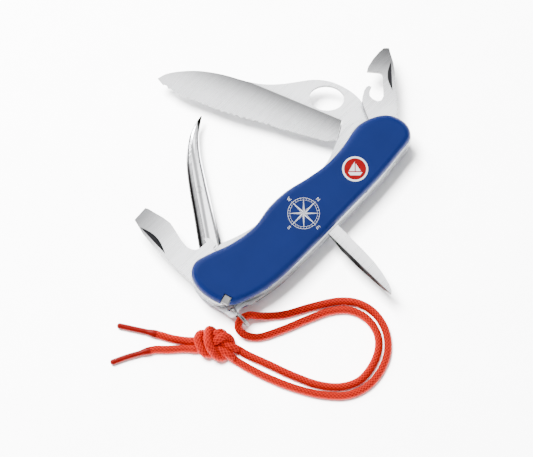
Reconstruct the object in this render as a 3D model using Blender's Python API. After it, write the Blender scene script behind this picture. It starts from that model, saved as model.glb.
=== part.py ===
"""Rigging knife: a folding sailor's knife with a lock blade, a marlinspike, openers and a cord lanyard.

The knife lies flat on its rear scale.  The origin is the centre of that scale's flat outer face:
+X runs along the back towards the blade's pivot, +Y to the side that the blade folds out of, and
+Z up through the layers.  The tools stand part open, and every tool's own frame has its origin on
its pivot and +X towards its tip.  Lengths below are in millimetres and are turned into metres as
the meshes are made.
"""

import math

import bmesh
import bpy
from mathutils import Vector

MM = 0.001

# ---------------------------------------------------------------- driving dimensions
SCALE_THICK = 3.2
FRONT_SCALE_THICK = 3.4
LINER_THICK = 0.7
TOOL_THICK = 2.4
SPIKE_THICK = 4.5
LAYER_GAP = 0.1

REAR_SCALE_Z = (0.0, SCALE_THICK)


def above(layer, thick):
    """The next layer up, a gap above the one given."""
    low = layer[1] + LAYER_GAP
    return (low, low + thick)


REAR_LINER_Z = above(REAR_SCALE_Z, LINER_THICK)
SPIKE_Z = above(REAR_LINER_Z, SPIKE_THICK)
BLADE_LOCK_Z = above(SPIKE_Z, LINER_THICK)
BLADE_Z = above(BLADE_LOCK_Z, TOOL_THICK)
OPENER_LOCK_Z = above(BLADE_Z, LINER_THICK)
OPENER_Z = above(OPENER_LOCK_Z, TOOL_THICK)
FRONT_LINER_Z = above(OPENER_Z, LINER_THICK)
FRONT_SCALE_Z = above(FRONT_LINER_Z, FRONT_SCALE_THICK)

BLADE_PIVOT = (47.0, -3.0)
OPENER_PIVOT = (-45.2, 4.4)
REAMER_PIVOT = (2.6, -9.6)
LONG_PIN_AT = (24.0, -13.0)
SHORT_PIN_AT = (-20.0, -13.0)
LUG_HOLE = (-50.1, -8.0)

# Directions of the tools, from the pivot to the tip, in degrees from +X.
BLADE_REST = 120.0
CAN_OPENER_REST = 45.0
BOTTLE_OPENER_REST = 97.5
SPIKE_REST = 52.5
REAMER_REST = -90.0

RIVET_R = 1.5
RIVET_HOLE_R = 1.6
HEAD_R = 2.4
HEAD_THICK = 0.8
POCKET_R = 2.7
POCKET_DEPTH = 1.1
PIN_R = 0.8
PIN_HOLE_R = 0.9
REAMER_PIN_R = 1.1
LUG_HOLE_R = 1.3
ROUND_SIDES = 32

RING_R = 4.8
RING_WIRE_R = 0.6

CORD_D = 3.2
SLEEVE_R = 1.25
CUTTER_MARGIN = 1.0

# ---------------------------------------------------------------- outlines
# Scale, seen from the front, counter-clockwise from the back edge at the tail.
SCALE_OUTLINE = [
    (-30, -14.1), (-10, -14.4), (12, -13.8), (32, -13.3), (46, -11.8), (53.6, -10.5), (56.5, -6.2),
    (55.6, 0.4), (51.6, 5.2), (42, 8.8), (32, 7.1), (22, 6.2), (11, 7.7), (0, 10.1), (-10, 10.3),
    (-20, 8.7), (-32, 10.4), (-42, 14.0), (-48, 15.3), (-52.6, 12.6), (-54.6, 6.6), (-53.3, -2.0),
    (-50.2, -7.5), (-41, -11.8),
]
# The liners stand a little proud of the scales along the back and at the tail.
LINER_BACK = [(-36, -13.4), (-28, -14.6), (-10, -15.0), (12, -14.5), (32, -13.9), (46, -12.3), (53.6, -10.9)]
LINER_NOSE = [(56.1, -6.4), (55.2, 0.3), (51.3, 4.8)]
LINER_BELLY = [(42, 8.3), (32, 6.7), (22, 5.8), (11, 7.3), (0, 9.7), (-10, 9.9), (-20, 8.3), (-32, 10.0)]
LINER_TAIL = [(-42, 13.6), (-48, 14.9), (-52.8, 12.6), (-55.2, 6.6), (-54.4, -1.6)]
LINER_CORNER = [(-51.6, -6.0), (-47.0, -8.8), (-41.5, -11.6)]
LUG_CORNER = [(-53.3, -6.5), (-52.7, -10.6), (-50.4, -11.5), (-47.6, -10.6), (-43, -11.8)]

# Finger guard in front of the blade, and the bottle opener's lock bar with its thumb ramp.
GUARD = [(50.5, 6.0), (45.5, 10.4), (40.5, 12.4), (35.5, 12.3), (29.5, 10.3), (22.5, 7.6)]
LOCK_BAR_TOP = [(-17.5, 9.5), (-23, 10.5), (-29, 12.3), (-34, 14.1), (-37.6, 14.3)]
LOCK_SLIT = [(-37.8, 8.2), (-24, 6.2), (-12, 6.6), (-11.6, 6.1), (-12, 5.6), (-24, 5.2), (-38.6, 7.4),
             (-38.8, 12.3)]
BLADE_LOCK_SLIT = [(39.6, 8.1), (39.2, 1.4), (24, 0.8), (13.4, 1.2), (12.6, 1.8), (13.4, 2.4), (24, 1.8),
                   (38.2, 2.4), (38.6, 7.9)]

# Main blade: spine, tip and edge in the blade's own frame, spine side negative.
BLADE_SPINE = [
    (9.5, -6.8), (13.6, -13.2), (18, -16.2), (24, -18.2), (30, -18.9), (36.5, -17.8), (43.5, -14.8),
    (50, -12.1), (57, -10.3), (64, -9.8), (74, -10.1), (84, -9.2), (92, -7.0), (98, -4.2), (100.9, -1.4),
]
BLADE_BELLY = [(98.0, 0.7), (91.5, 3.0), (82, 4.4), (70, 5.8), (58, 6.2), (48.3, 6.3)]
BLADE_HEEL = [(23.9, 6.8), (21.5, 5.4), (16, 5.4), (9, 6.6)]
BLADE_TANG_R = 6.8
SERRATIONS = 18
SERRATION_DEPTH = 0.65
SERRATION_STEPS = 5
THUMB_HOLE_AT = (28.9, -11.4)
THUMB_HOLE_SIZE = (7.6, 5.6)
THUMB_HOLE_TILT = 12.0
GRIND_FROM = (62.5, -9.9)
GRIND_TO = (20.0, -3.6)
# How far below the blade's middle line the grind runs out, and where and how fast it rises to the tip.
GRIND_OUT_Y = 6.2
GRIND_RISE_FROM = 60.0
GRIND_RISE = 0.12
GRIND_LEAST_DEPTH = 1.0
EDGE_HALF_THICK = 0.12

# Can opener, hook side positive.
CAN_BACK = [(10, -4.8), (20, -4.5), (29, -4), (33.5, -3.5), (37, -2.5), (39.8, -1.8)]
CAN_TIP = [(39.8, 0.5), (38, 2.5), (35, 5), (31.5, 7.2), (29.5, 7.8)]
CAN_NOTCH = [(29, 2.5), (28.5, 1.5), (27.5, 1), (18.5, 0.8), (16.5, 1.8), (16, 3.5), (17, 5.5), (18.5, 6.8),
             (20.5, 6.8), (22.5, 6)]
CAN_HOOK = [(23, 7), (22.5, 8), (21, 9), (18, 9.8), (15.5, 10), (13.5, 9.4), (8, 7.4)]
CAN_TANG_R = 6.4

# Bottle opener, lever side negative.
BOTTLE_BACK = [(5.4, 8.6), (12, 8), (22, 7), (31, 5.7), (36.5, 4.4), (40, 3), (42.7, 2)]
BOTTLE_LEVER = [(42.3, -4.7), (41, -5.2), (38, -5.5), (34, -6), (30, -6), (27, -5), (22, -3), (18.5, -2.2),
                (16, -2.5), (14.5, -3.5), (13.6, -5)]
BOTTLE_CLAW = [(13, -8.4), (14.5, -9), (14.5, -10), (13.5, -10.5), (12, -10.8), (10, -10.8), (9.1, -10.3),
               (9.2, -8.6), (8.3, -8)]
BOTTLE_TANG_R = 9.2

# Nail nicks: crescents between a straight chord and a bulge, in the tool's frame.
CAN_NICK = ((20.9, -2.9), (33.4, -2.5), 1.7)
BOTTLE_NICK = ((38.6, 3.1), (23.8, 5.5), 2.0)
NICK_DEPTH = 0.6

# Reamer, cutting edge negative.
REAMER_BACK = [(41.5, -2.5), (40.5, -1.2), (38, 0), (34.5, 1), (31, 1.8), (27, 2.4), (20, 2.8), (5.6, 3)]
REAMER_EDGE = [(4.2, -2.4), (10, -2.9), (13.5, -3.5), (22, -3.7), (33, -3.3), (38, -3)]
REAMER_TANG_R = 3.2
REAMER_BEVEL_X = 13.5
REAMER_BEVEL_Y = -2.6
REAMER_EDGE_THICK = 0.4

# Marlinspike: centre line (x, y), half width and half thickness at each station.
SPIKE_STATIONS = [
    (9, 1.3, 4.9, 2.25), (16, 1.8, 4.8, 2.25), (23, 2.3, 4.55, 2.25), (30, 2.85, 4.25, 2.25),
    (38, 3.5, 4.0, 2.25), (46, 3.95, 3.7, 2.2), (52, 4.1, 3.3, 2.1), (57.5, 3.8, 2.8, 1.9),
    (62.3, 3.0, 2.2, 1.6), (66.2, 1.8, 1.6, 1.2), (69.6, 0.2, 0.95, 0.75), (72.5, -1.5, 0.25, 0.25),
]
SPIKE_TANG_R = 5.6
SPIKE_ROOT = [(13.5, -2.2), (13.5, 5.6)]
SPIKE_SECTION_SIDES = 16
# Below 1 the section is fuller than an ellipse: across the spike, and through its thickness.
SPIKE_FULLNESS = (0.8, 0.7)

# Backsprings, in the knife's frame.
OPENER_SPRING = [
    (-47.4, -6.2), (-46.8, -9.2), (-40, -9.6), (-32, -9), (-26, -8.25), (-18, -7.1), (-3, -6.8), (0.2, -5.6),
    (2.6, -5.2), (5.0, -5.6), (6.8, -7.2), (7.2, -10), (7.4, -14.6), (20, -14.4), (32, -13.8), (44.5, -12.3),
    (45.6, -11.2), (44.5, -10.3), (34, -10.4), (20, -10.4), (13.5, -8.6), (8.5, -5.2), (5, -3.9), (-4, -3.9),
    (-12, -4.4), (-20, -5.5), (-30, -7.4), (-36, -7.6), (-42, -6.4), (-46.5, -5.4),
]
BLADE_SPRING = [
    (-44.5, -12.0), (-43.6, -12.8), (-37, -13.7), (-28, -14.5), (-10, -14.9), (12, -14.4), (32, -13.8),
    (43, -12.6), (45.5, -11.6), (43.5, -11.1), (30, -11.3), (-20, -11.3), (-43, -11.2),
]
SPIKE_SPRING = [
    (-41, -11.9), (-40, -12.8), (-28, -14.5), (-10, -14.9), (12, -14.4), (32, -13.8), (39.5, -13.0),
    (40.4, -11.4), (39, -10.2), (20, -10.0), (-20, -10.0), (-39, -10.4),
]
END_SPACER = [
    (42.4, -11.9), (46, -12.2), (53.4, -10.7), (55.8, -6.4), (54.9, 0.2), (51.1, 4.6), (46.5, 6.6),
    (43.4, 5.2), (42.2, 0), (41.8, -6),
]

# Slots of the small tools: a notch for the grip at the tail and a channel under the scale.  Each slot
# is given by the grip's middle and the direction into the scale, in degrees from +X.
TWEEZERS_SLOT = ((-50.0, -5.2), 16.0)
TOOTHPICK_SLOT = ((-49.8, 11.9), -23.0)
SLOT_LENGTH = 47.0
SLOT_WIDTH = 3.4
SLOT_DEPTH = 2.1
GRIP_LENGTH = 3.4
TOOL_WIDTH = 2.9
LEAF_THICK = 0.5
LEAF_GAP = 0.6
LEAF_LOW = 0.25
LEAF_END_GAP = 0.15
FORK_LENGTH = 4.0
GRIP_LOW = 0.1
GRIP_HIGH = 2.9
TOOTHPICK_THICK = 1.6
TOOTHPICK_DROP = 0.2
TOOL_END_GAP = 1.5
# Toothpick: half width as a share of the grip's, and where its point starts, back from the tip.
PICK_NECK_SHARE = 0.75
PICK_SHARE = 0.7
PICK_POINT_LENGTH = 10.0
PICK_TIP_HALF = 0.3

# Cord routes, centre line in the knife's frame: from the ring round the loop to the knot.
CORD_AT_RING = (-50.1, -13.6, 6.95)
STRAND_A = [
    (-48, -14, 6.8), (-46, -15, 6), (-43.5, -17.5, 4), (-40, -20.5, 2.1), (-35, -24.5, 1.7), (-25, -30, 1.7),
    (-15, -36.5, 1.7), (-10, -42.5, 1.7), (-8, -50, 1.7), (-10, -59, 1.7), (-16, -66, 1.7), (-24, -69.5, 1.7),
    (-32.5, -70, 1.7), (-40.5, -67, 1.7), (-47.5, -60, 1.7), (-53.5, -50.5, 1.7), (-58.5, -39.5, 1.7),
    (-62, -29, 1.7), (-63.5, -22.7, 1.9),
]
STRAND_B = [
    (-52, -14, 6.8), (-53.5, -15.5, 5.8), (-53.5, -18, 4), (-52, -21, 2.1), (-49, -24, 1.7), (-40, -28.5, 1.7),
    (-29, -33, 1.7), (-20.5, -37, 1.7), (-14.5, -42.5, 1.7), (-12, -50, 1.7), (-13.5, -57.5, 1.7),
    (-18, -62.5, 1.7), (-25, -65.5, 1.7), (-33, -66, 1.7), (-40, -62.5, 1.7), (-46, -55.5, 1.7),
    (-51, -45, 1.7), (-55, -34, 1.7), (-58, -26, 1.7), (-59.3, -21.6, 1.9),
]
TAIL_A = [(-71, -4.5, 1.9), (-73, -2, 1.7), (-75.5, 1.5, 1.7), (-78, 6, 1.7), (-79.5, 8.5, 1.65)]
TAIL_B = [(-73, -7, 1.9), (-76, -4, 1.7), (-80, -0.5, 1.7), (-84, 3.5, 1.7), (-86.5, 5, 1.65)]
SLEEVE_A = [(-79.7, 8.8, 1.65), (-81.5, 11.8, 1.45), (-84.5, 16.5, 1.35), (-88, 22, 1.35)]
SLEEVE_B = [(-86.8, 5.2, 1.65), (-90, 7, 1.45), (-94.5, 9.5, 1.35), (-101, 12.5, 1.35)]
KNOT_AT = (-64.6, -12.2, 5.1)
KNOT_HALF = (8.0, 6.5, 5.0)
KNOT_TURN = -45.0
MEET_GAP = 0.6


# ---------------------------------------------------------------- helpers
def clear_scene():
    for obj in list(bpy.data.objects):
        bpy.data.objects.remove(obj, do_unlink=True)


def make_material(name, colour, roughness, metallic):
    material = bpy.data.materials.new(name)
    material.use_nodes = True
    shader = material.node_tree.nodes["Principled BSDF"]
    shader.inputs["Base Color"].default_value = (*colour, 1.0)
    shader.inputs["Roughness"].default_value = roughness
    shader.inputs["Metallic"].default_value = metallic
    return material


def curve_point(p0, p1, p2, p3, t):
    """Centripetal Catmull-Rom between p1 and p2."""
    knots = [0.0]
    for a, b in ((p0, p1), (p1, p2), (p2, p3)):
        knots.append(knots[-1] + max((b - a).length ** 0.5, 1e-6))
    at = knots[1] + t * (knots[2] - knots[1])

    def blend(a, b, low, high):
        return a * ((high - at) / (high - low)) + b * ((at - low) / (high - low))

    a1 = blend(p0, p1, knots[0], knots[1])
    a2 = blend(p1, p2, knots[1], knots[2])
    a3 = blend(p2, p3, knots[2], knots[3])
    b1 = blend(a1, a2, knots[0], knots[2])
    b2 = blend(a2, a3, knots[1], knots[3])
    return blend(b1, b2, knots[1], knots[2])


def smooth_open(points, steps):
    """A smooth curve through the points, both ends kept."""
    pts = [Vector(p) for p in points]
    pts = [pts[0] * 2 - pts[1]] + pts + [pts[-1] * 2 - pts[-2]]
    out = []
    for i in range(1, len(pts) - 2):
        out += [curve_point(*pts[i - 1:i + 3], k / steps) for k in range(steps)]
    return out + [pts[-2]]


def smooth_closed(points, steps):
    pts = [Vector(p) for p in points]
    count = len(pts)
    out = []
    for i in range(count):
        four = [pts[(i + j) % count] for j in (-1, 0, 1, 2)]
        out += [curve_point(*four, k / steps) for k in range(steps)]
    return out


def arc(centre, radius, start, end, steps):
    """Points on an arc, angles in degrees."""
    return [
        Vector((
            centre[0] + radius * math.cos(math.radians(start + (end - start) * k / steps)),
            centre[1] + radius * math.sin(math.radians(start + (end - start) * k / steps)),
        ))
        for k in range(steps + 1)
    ]


def circle(centre, radius, sides=ROUND_SIDES):
    return arc(centre, radius, 0.0, 360.0, sides)[:-1]


def inset(loop, distance):
    """A closed counter-clockwise loop moved inwards, in small smoothed steps."""
    steps = max(1, math.ceil(distance / 0.25))
    pts = [Vector(p) for p in loop]
    count = len(pts)
    for _ in range(steps):
        moved = []
        for i in range(count):
            along = (pts[(i + 1) % count] - pts[i - 1]).normalized()
            moved.append(pts[i] + Vector((-along.y, along.x)) * (distance / steps))
        pts = [(moved[i - 1] + moved[i] * 6 + moved[(i + 1) % count]) / 8 for i in range(count)]
    return pts


def new_object(name, mesh, material, at=(0.0, 0.0), turn=0.0):
    obj = bpy.data.objects.new(name, mesh)
    bpy.context.collection.objects.link(obj)
    obj.location = (at[0] * MM, at[1] * MM, 0.0)
    obj.rotation_euler = (0.0, 0.0, math.radians(turn))
    mesh.materials.append(material)
    mesh.shade_smooth()
    mesh.set_sharp_from_angle(angle=math.radians(35))
    return obj


def mesh_from(bm, name):
    bmesh.ops.recalc_face_normals(bm, faces=bm.faces)
    mesh = bpy.data.meshes.new(name)
    bm.to_mesh(mesh)
    bm.free()
    return mesh


def fill_sheet(bm, loops):
    """Fill the flat sheet bounded by one outer loop and any holes."""
    edges = []
    for ring in loops:
        edges += [bm.edges.get((ring[i - 1], ring[i])) or bm.edges.new((ring[i - 1], ring[i]))
                  for i in range(len(ring))]
    bmesh.ops.triangle_fill(bm, edges=edges, use_beauty=True)


def plate_bmesh(outline, holes, low, high):
    """A flat plate between two heights, with holes through it."""
    bm = bmesh.new()
    bottoms, tops = [], []
    for loop in [outline] + list(holes):
        bottom = [bm.verts.new((p[0] * MM, p[1] * MM, low * MM)) for p in loop]
        top = [bm.verts.new((p[0] * MM, p[1] * MM, high * MM)) for p in loop]
        for i in range(len(loop)):
            bm.faces.new((bottom[i - 1], bottom[i], top[i], top[i - 1]))
        bottoms.append(bottom)
        tops.append(top)
    fill_sheet(bm, bottoms)
    fill_sheet(bm, tops)
    return bm


def plate(name, outline, holes, layer, material, at=(0.0, 0.0), turn=0.0):
    bm = plate_bmesh(outline, holes, *layer)
    return new_object(name, mesh_from(bm, name), material, at, turn)


def stack_loops(name, levels, material):
    """A solid through closed loops of equal length at rising heights, flat at both ends."""
    bm = bmesh.new()
    rings = [[bm.verts.new((p[0] * MM, p[1] * MM, z * MM)) for p in loop] for loop, z in levels]
    for low, high in zip(rings, rings[1:]):
        for i in range(len(low)):
            bm.faces.new((low[i - 1], low[i], high[i], high[i - 1]))
    fill_sheet(bm, [rings[0]])
    fill_sheet(bm, [rings[-1]])
    return new_object(name, mesh_from(bm, name), material)


def cut(obj, outline, low, high, name, turn_with=None):
    """Take a prism out of an object."""
    bm = plate_bmesh(outline, [], low, high)
    cutter = bpy.data.objects.new(name, mesh_from(bm, name))
    bpy.context.collection.objects.link(cutter)
    if turn_with is not None:
        cutter.location = turn_with.location
        cutter.rotation_euler = turn_with.rotation_euler
    cutter.hide_render = True
    cutter.display_type = "WIRE"
    modifier = obj.modifiers.new(name, "BOOLEAN")
    modifier.operation = "DIFFERENCE"
    modifier.solver = "EXACT"
    modifier.object = cutter


def turned(name, profile, at, material, sides=ROUND_SIDES):
    """A turned solid on the vertical through a point, from (radius, height) pairs, top to bottom."""
    bm = bmesh.new()
    rings = []
    for radius, z in profile:
        rings.append([bm.verts.new((p[0] * MM, p[1] * MM, z * MM)) for p in circle((0, 0), radius, sides)])
    for high, low in zip(rings, rings[1:]):
        for i in range(sides):
            bm.faces.new((low[i - 1], low[i], high[i], high[i - 1]))
    bm.faces.new(rings[0])
    bm.faces.new(rings[-1])
    return new_object(name, mesh_from(bm, name), material, at)


# ---------------------------------------------------------------- handle
def scale_levels(inner_z, towards):
    """The scale's loops from its flat inner face to its domed outer face."""
    loop = smooth_closed(SCALE_OUTLINE, 4)
    thick = FRONT_SCALE_THICK if towards > 0 else SCALE_THICK
    shape = ((0.0, 0.0), (0.30, 0.0), (0.60, 0.3), (0.82, 0.85), (0.95, 1.5), (1.0, 2.3))
    levels = [(inset(loop, move) if move else loop, inner_z + towards * part * thick) for part, move in shape]
    return levels if towards > 0 else levels[::-1]


def slot_box(slot, start, end, half_width):
    """A rectangle along a small tool's slot, distances along it from the grip's middle."""
    turn = math.radians(slot[1])
    along = Vector((math.cos(turn), math.sin(turn)))
    across = Vector((-along.y, along.x))
    centre = Vector(slot[0])
    return [centre + along * s + across * w
            for s, w in ((start, -half_width), (end, -half_width), (end, half_width), (start, half_width))]


def cut_slot(scale, slot, inner, towards, outer):
    """A channel in the scale's inner face, open at the tail through a notch that shows the grip."""
    half = SLOT_WIDTH / 2
    channel = slot_box(slot, 0, SLOT_LENGTH - GRIP_LENGTH, half)
    notch = slot_box(slot, -GRIP_LENGTH * 2, GRIP_LENGTH / 2 + 0.2, half + 0.1)
    ends = sorted((inner - towards * CUTTER_MARGIN, inner + towards * SLOT_DEPTH))
    cut(scale, channel, *ends, scale.name + "_channel_cutter")
    ends = sorted((inner - towards * CUTTER_MARGIN * 1.1, outer + towards * CUTTER_MARGIN))
    cut(scale, notch, *ends, scale.name + "_notch_cutter")


def make_scales(material):
    layers = (
        ("front_scale", FRONT_SCALE_Z[0], 1, FRONT_SCALE_Z[1], TWEEZERS_SLOT),
        ("rear_scale", REAR_SCALE_Z[1], -1, REAR_SCALE_Z[0], TOOTHPICK_SLOT),
    )
    for name, inner, towards, outer, slot in layers:
        scale = stack_loops(name, scale_levels(inner, towards), material)
        cut_slot(scale, slot, inner, towards, outer)
        for label, at in (("_blade", BLADE_PIVOT), ("_opener", OPENER_PIVOT)):
            ends = sorted((inner - towards * CUTTER_MARGIN, inner + towards * POCKET_DEPTH))
            cut(scale, circle(at, POCKET_R), *ends, name + label + "_pocket_cutter")


def outline_of(*runs):
    """A closed outline from runs of points, each a list and whether a smooth curve goes through it."""
    out = []
    for points, is_smooth in runs:
        out += smooth_open(points, 3) if is_smooth else [Vector(p) for p in points]
    return out


def make_liners(material):
    rivets = [circle(BLADE_PIVOT, RIVET_HOLE_R), circle(OPENER_PIVOT, RIVET_HOLE_R)]
    long_pin = circle(LONG_PIN_AT, PIN_HOLE_R, 16)
    short_pin = circle(SHORT_PIN_AT, PIN_HOLE_R, 16)
    reamer_pin = circle(REAMER_PIVOT, REAMER_PIN_R + 0.1, 24)
    lug_hole = circle(LUG_HOLE, LUG_HOLE_R, 24)
    back_and_nose = LINER_BACK + LINER_NOSE

    plain = smooth_closed(back_and_nose + LINER_BELLY + LINER_TAIL + LINER_CORNER, 3)
    plate("rear_liner", plain, rivets + [long_pin, short_pin], REAR_LINER_Z, material)
    plate("front_liner", plain, rivets + [long_pin, reamer_pin], FRONT_LINER_Z, material)

    blade_lock = outline_of(
        (back_and_nose + LINER_BELLY[:1], True),
        (BLADE_LOCK_SLIT, False),
        (LINER_BELLY[1:] + LINER_TAIL + LUG_CORNER, True),
    )
    plate("blade_lock_liner", blade_lock, rivets + [long_pin, short_pin, lug_hole], BLADE_LOCK_Z, material)

    opener_lock = outline_of(
        (back_and_nose[:-1] + GUARD + LINER_BELLY[3:6] + LOCK_BAR_TOP, True),
        (LOCK_SLIT, False),
        (LINER_TAIL + LINER_CORNER, True),
    )
    pins = [long_pin, short_pin, reamer_pin]
    plate("opener_lock_liner", opener_lock, rivets + pins, OPENER_LOCK_Z, material)


def make_springs(material):
    long_pin = circle(LONG_PIN_AT, PIN_HOLE_R, 16)
    short_pin = circle(SHORT_PIN_AT, PIN_HOLE_R, 16)
    plate("opener_spring", [Vector(p) for p in OPENER_SPRING], [long_pin], OPENER_Z, material)
    plate("blade_spring", [Vector(p) for p in BLADE_SPRING], [long_pin, short_pin], BLADE_Z, material)
    plate("spike_spring", [Vector(p) for p in SPIKE_SPRING], [long_pin, short_pin], SPIKE_Z, material)
    plate("end_spacer", smooth_closed(END_SPACER, 3), [circle(BLADE_PIVOT, RIVET_HOLE_R)], SPIKE_Z, material)


def make_rivets(brass, steel):
    low = REAR_LINER_Z[0] - LAYER_GAP / 2
    high = FRONT_LINER_Z[1] + LAYER_GAP / 2
    profile = [(HEAD_R, high + HEAD_THICK), (HEAD_R, high), (RIVET_R, high), (RIVET_R, low), (HEAD_R, low),
               (HEAD_R, low - HEAD_THICK)]
    turned("blade_end_rivet", profile, BLADE_PIVOT, brass)
    turned("opener_end_rivet", profile, OPENER_PIVOT, brass)
    turned("long_spring_pin", [(PIN_R, FRONT_LINER_Z[1]), (PIN_R, REAR_LINER_Z[0])], LONG_PIN_AT, steel, 16)
    turned("short_spring_pin", [(PIN_R, OPENER_LOCK_Z[1]), (PIN_R, REAR_LINER_Z[0])], SHORT_PIN_AT, steel, 16)
    turned("reamer_pin", [(REAMER_PIN_R, FRONT_LINER_Z[1]), (REAMER_PIN_R, OPENER_LOCK_Z[0])], REAMER_PIVOT,
           steel, 24)


# ---------------------------------------------------------------- tools
def serrated(points):
    """The blade's belly as a row of scallops with pointed teeth between them."""
    path = smooth_open(points, 12)
    lengths = [0.0]
    for a, b in zip(path, path[1:]):
        lengths.append(lengths[-1] + (b - a).length)
    out = []
    total = SERRATIONS * SERRATION_STEPS
    for k in range(total + 1):
        at = lengths[-1] * k / total
        i = max(j for j in range(len(path) - 1) if lengths[j] <= at + 1e-9)
        share = (at - lengths[i]) / (lengths[i + 1] - lengths[i])
        along = (path[i + 1] - path[i]).normalized()
        phase = (k % SERRATION_STEPS) / SERRATION_STEPS
        depth = SERRATION_DEPTH * math.sin(math.pi * phase)
        out.append(path[i].lerp(path[i + 1], share) + Vector((-along.y, along.x)) * depth)
    return out


def ellipse(centre, half, tilt, sides):
    turn = math.radians(tilt)
    out = []
    for k in range(sides):
        angle = 2 * math.pi * k / sides
        x, y = half[0] * math.cos(angle), half[1] * math.sin(angle)
        out.append(Vector((centre[0] + x * math.cos(turn) - y * math.sin(turn),
                           centre[1] + x * math.sin(turn) + y * math.cos(turn))))
    return out


def thin_towards_edge(bm, layer, height_at):
    """Bring each point's height towards the middle plane by the share that height_at gives."""
    middle = (layer[0] + layer[1]) / 2 * MM
    for vert in bm.verts:
        vert.co.z = middle + (vert.co.z - middle) * height_at(vert.co.x / MM, vert.co.y / MM)


def make_main_blade(material):
    spine = smooth_open(BLADE_SPINE, 3)
    edge = serrated(BLADE_BELLY)
    heel = [Vector(p) for p in BLADE_HEEL]
    tang = arc((0, 0), BLADE_TANG_R, 75, 285, 20)
    outline = spine + edge + heel + tang
    holes = [circle((0, 0), RIVET_HOLE_R), ellipse(THUMB_HOLE_AT, THUMB_HOLE_SIZE, THUMB_HOLE_TILT, 32)]
    bm = plate_bmesh(outline, holes, *BLADE_Z)
    start, end = Vector(GRIND_FROM), Vector(GRIND_TO)
    along = (start - end).normalized()
    down = Vector((-along.y, along.x))

    def split(point, normal):
        geometry = list(bm.verts) + list(bm.edges) + list(bm.faces)
        bmesh.ops.bisect_plane(bm, geom=geometry, dist=1e-6, plane_co=(point[0] * MM, point[1] * MM, 0),
                               plane_no=(normal[0], normal[1], 0))

    split(start, down)
    split((GRIND_TO[0] - 0.4, 0), (1, 0))
    split(GRIND_TO, (1, 0))
    edge_share = EDGE_HALF_THICK / (TOOL_THICK / 2)

    def share(x, y):
        if x < GRIND_TO[0] - 0.2:
            return 1.0
        below = (Vector((x, y)) - start).dot(down)
        out_y = GRIND_OUT_Y - max(x - GRIND_RISE_FROM, 0) * GRIND_RISE
        depth = max(out_y - (start + along * (x - start.x)).y, GRIND_LEAST_DEPTH)
        return max(1.0 - max(below, 0.0) / depth * (1 - edge_share), edge_share)

    thin_towards_edge(bm, BLADE_Z, share)
    mesh = mesh_from(bm, "main_blade")
    return new_object("main_blade", mesh, material, BLADE_PIVOT, BLADE_REST)


def cut_nick(tool, nick, layer, name):
    """A nail nick: a shallow crescent let into the tool's front face."""
    start, end, bulge = Vector(nick[0]), Vector(nick[1]), nick[2]
    along = end - start
    side = Vector((-along.y, along.x)).normalized()
    bow = [start + along * t + side * bulge * math.sin(math.pi * t) for t in (i / 10 for i in range(11))]
    outline = bow[::-1]
    cut(tool, outline, layer[1] - NICK_DEPTH, layer[1] + CUTTER_MARGIN, name, turn_with=tool)


def make_can_opener(material):
    tang = arc((0, 0), CAN_TANG_R, 75, 285, 16)
    points = CAN_BACK + CAN_TIP + CAN_NOTCH + CAN_HOOK
    outline = [Vector(p) for p in points] + tang
    tool = plate("can_opener", outline, [circle((0, 0), RIVET_HOLE_R)], OPENER_Z, material, BLADE_PIVOT,
                 CAN_OPENER_REST)
    cut_nick(tool, CAN_NICK, OPENER_Z, "can_opener_nick_cutter")


def make_bottle_opener(material):
    tang = arc((0, 0), BOTTLE_TANG_R, 300, 62, 22)
    points = BOTTLE_BACK + BOTTLE_LEVER + BOTTLE_CLAW
    outline = ([Vector(p) for p in points] + tang)[::-1]
    tool = plate("bottle_opener", outline, [circle((0, 0), RIVET_HOLE_R)], OPENER_Z, material, OPENER_PIVOT,
                 BOTTLE_OPENER_REST)
    cut_nick(tool, BOTTLE_NICK, OPENER_Z, "bottle_opener_nick_cutter")


def make_reamer(material):
    tang = arc((0, 0), REAMER_TANG_R, 60, 300, 14)
    outline = [Vector(p) for p in REAMER_BACK] + tang + [Vector(p) for p in REAMER_EDGE]
    bm = plate_bmesh(outline, [circle((0, 0), REAMER_PIN_R + 0.1, 24)], *OPENER_Z)
    geometry = list(bm.verts) + list(bm.edges) + list(bm.faces)
    bmesh.ops.bisect_plane(bm, geom=geometry, dist=1e-6, plane_co=(0, REAMER_BEVEL_Y * MM, 0),
                           plane_no=(0, 1, 0))
    for vert in bm.verts:
        x, y = vert.co.x / MM, vert.co.y / MM
        if x > REAMER_BEVEL_X - 0.5 and y < REAMER_BEVEL_Y - 0.05 and vert.co.z > OPENER_Z[1] * MM - 1e-5:
            vert.co.z = (OPENER_Z[0] + REAMER_EDGE_THICK) * MM
    new_object("reamer", mesh_from(bm, "reamer"), material, REAMER_PIVOT, REAMER_REST)


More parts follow.
